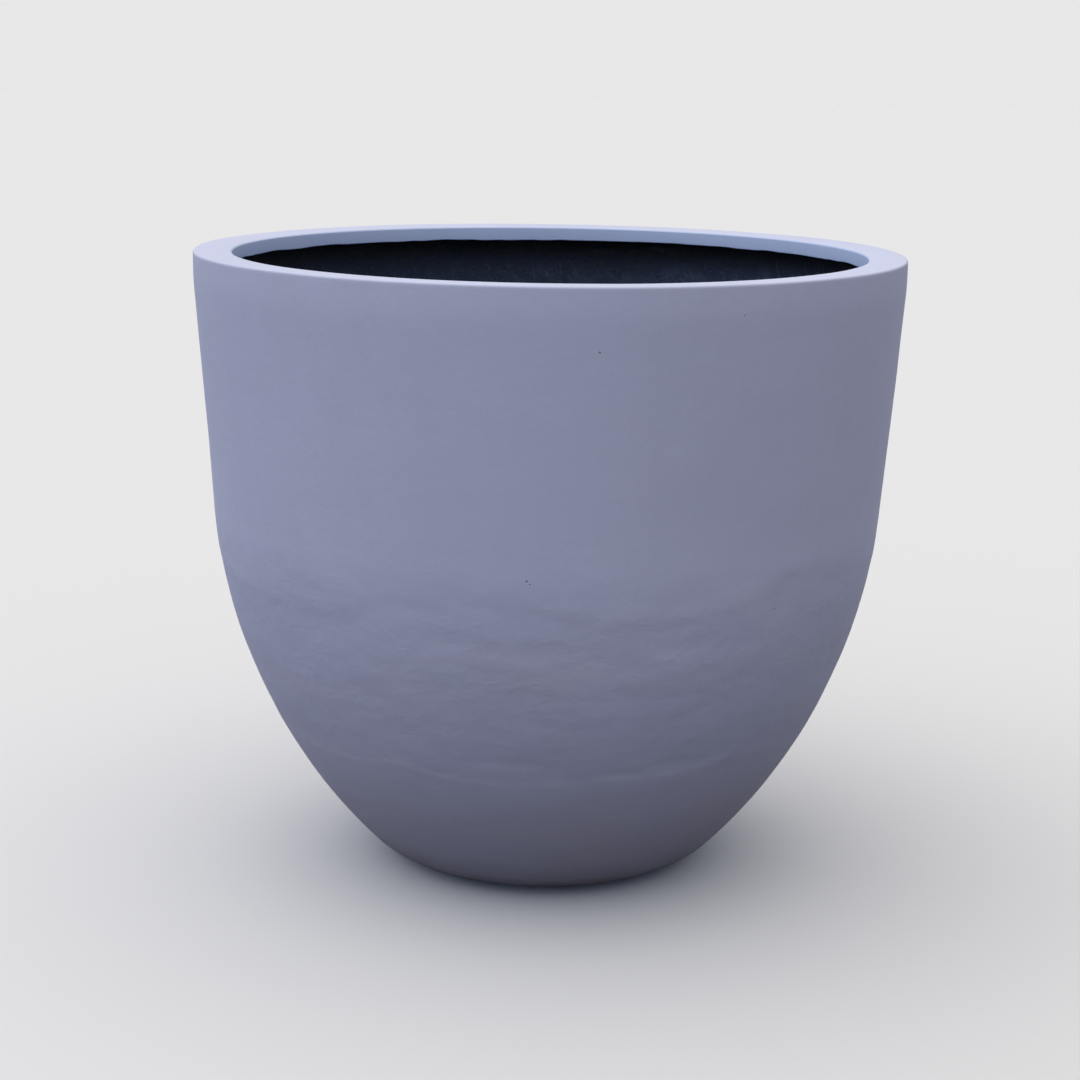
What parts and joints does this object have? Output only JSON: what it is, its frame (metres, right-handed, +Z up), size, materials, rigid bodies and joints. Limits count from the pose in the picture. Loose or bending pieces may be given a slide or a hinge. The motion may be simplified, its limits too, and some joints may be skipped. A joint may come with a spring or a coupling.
{
  "type": "fibreglass planter",
  "caption": "Large egg-shaped fibreglass floor planter with a broad turned-in rim, a black laminate lining and plugged drains in a flat padded base.",
  "frame": {"origin": "on the ground under the centre of the base, level with the undersides of the foot pads", "axes": "+Z up along the pot's axis, +X through the first drain; the pot is round, so front is any side"},
  "size_m": [1.1, 1.1, 0.9699],
  "materials": {
    "painted_laminate": "matte pale lavender-grey paint over hand-laid laminate, faintly mottled",
    "black_laminate": "black resin top coat over rough chopped-strand laminate",
    "bonding_paste": "cured grey bonding paste, smoothed by hand",
    "plywood": "bare plywood",
    "sleeve_plastic": "moulded grey plastic",
    "plug_rubber": "matte black rubber",
    "pad_rubber": "matte black rubber"
  },
  "bodies": {
    "planter": {"outer_shell": "painted_laminate", "rim_ring": "painted_laminate", "inner_liner": "black_laminate", "base_overlay": "black_laminate", "rim_bond": "bonding_paste", "base_board": "plywood", "drain_sleeve_1": "sleeve_plastic", "drain_sleeve_2": "sleeve_plastic", "drain_sleeve_3": "sleeve_plastic", "drain_sleeve_4": "sleeve_plastic", "foot_pad_1": "pad_rubber", "foot_pad_2": "pad_rubber", "foot_pad_3": "pad_rubber", "foot_pad_4": "pad_rubber", "foot_pad_5": "pad_rubber", "foot_pad_6": "pad_rubber"},
    "plug_1": {"drain_plug_1": "plug_rubber"},
    "plug_2": {"drain_plug_2": "plug_rubber"},
    "plug_3": {"drain_plug_3": "plug_rubber"},
    "plug_4": {"drain_plug_4": "plug_rubber"}
  },
  "joints": [
    {"name": "plug_1_lift", "type": "slide", "parent": "planter", "child": "plug_1", "axis": [0, 0, 1], "range_m": [0, 1]},
    {"name": "plug_2_lift", "type": "slide", "parent": "planter", "child": "plug_2", "axis": [0, 0, 1], "range_m": [0, 1]},
    {"name": "plug_3_lift", "type": "slide", "parent": "planter", "child": "plug_3", "axis": [0, 0, 1], "range_m": [0, 1]},
    {"name": "plug_4_lift", "type": "slide", "parent": "planter", "child": "plug_4", "axis": [0, 0, 1], "range_m": [0, 1]}
  ]
}
